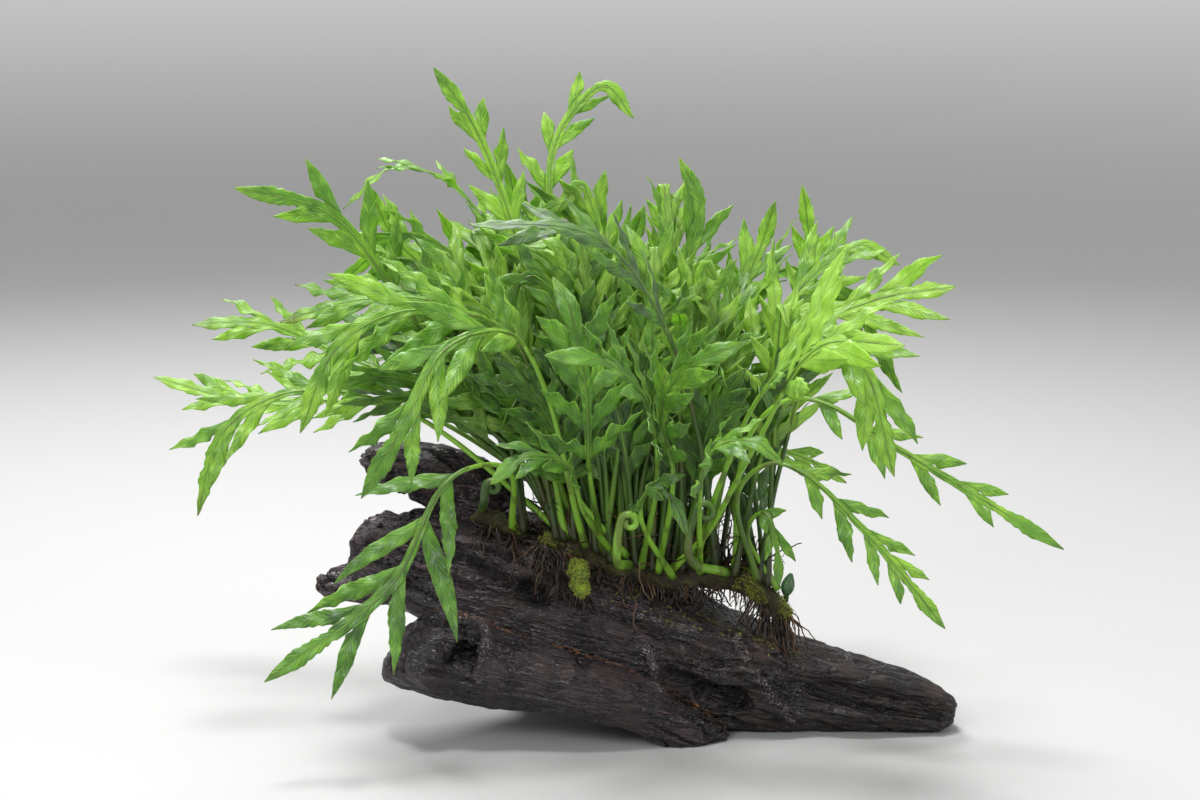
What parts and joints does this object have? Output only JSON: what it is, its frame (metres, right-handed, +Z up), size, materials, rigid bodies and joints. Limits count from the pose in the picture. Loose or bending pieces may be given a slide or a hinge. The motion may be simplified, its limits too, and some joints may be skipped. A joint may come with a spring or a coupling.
{
  "type": "african water fern on driftwood",
  "caption": "Aquarium decoration: a clump of African water fern whose creeping stem has grown along the top of a dark, forked piece of driftwood, which lies on its flat underside.",
  "frame": {"origin": "on the worn flat underside of the driftwood, at floor height", "axes": "+X along the driftwood from its forked end to its tongue, +Y away from the viewer of the picture, +Z up"},
  "size_m": [0.308, 0.216, 0.226],
  "materials": {
    "wood": "dark wet driftwood",
    "stem": "living creeping stem with moss, olive green",
    "roots": "mat of fine brown roots",
    "leaf": "living leaf, wet, half clear green",
    "young": "young living shoot"
  },
  "bodies": {
    "root": {"bud_right": "young", "driftwood_left_prong": "wood", "driftwood_lower_lobe": "wood", "driftwood_trunk": "wood", "driftwood_upper_horn": "wood", "fiddlehead_left": "young", "fiddlehead_mid": "young", "fiddlehead_right": "young", "frond_back_1": "leaf", "frond_back_10": "leaf", "frond_back_2": "leaf", "frond_back_3": "leaf", "frond_back_4": "leaf", "frond_back_5": "leaf", "frond_back_6": "leaf", "frond_back_7": "leaf", "frond_back_8": "leaf", "frond_back_9": "leaf", "frond_centre_left": "leaf", "frond_centre_top_a": "leaf", "frond_centre_top_b": "leaf", "frond_dark_arch": "leaf", "frond_front_low": "leaf", "frond_front_low_right": "leaf", "frond_front_mid_a": "leaf", "frond_front_mid_b": "leaf", "frond_front_mid_c": "leaf", "frond_hang_mid": "leaf", "frond_hang_right": "leaf", "frond_left_arch": "leaf", "frond_left_b": "leaf", "frond_left_brown_tip": "leaf", "frond_left_c": "leaf", "frond_left_far_droop": "leaf", "frond_left_front": "leaf", "frond_left_mid_a": "leaf", "frond_left_mid_c": "leaf", "frond_left_top": "leaf", "frond_lone_right": "leaf", "frond_mid_upright": "leaf", "frond_middle_low_a": "leaf", "frond_middle_low_b": "leaf", "frond_near_right": "leaf", "frond_near_right_low": "leaf", "frond_right_light": "leaf", "frond_right_low_a": "leaf", "frond_right_low_b": "leaf", "frond_right_mid": "leaf", "frond_right_top": "leaf", "frond_right_upper": "leaf", "frond_top_left": "leaf", "frond_top_right": "leaf", "moss_stub": "roots", "rhizome_back": "stem", "rhizome_left": "stem", "rhizome_main": "stem", "root_curtain_right": "roots", "root_mat_left": "roots"}
  },
  "joints": []
}
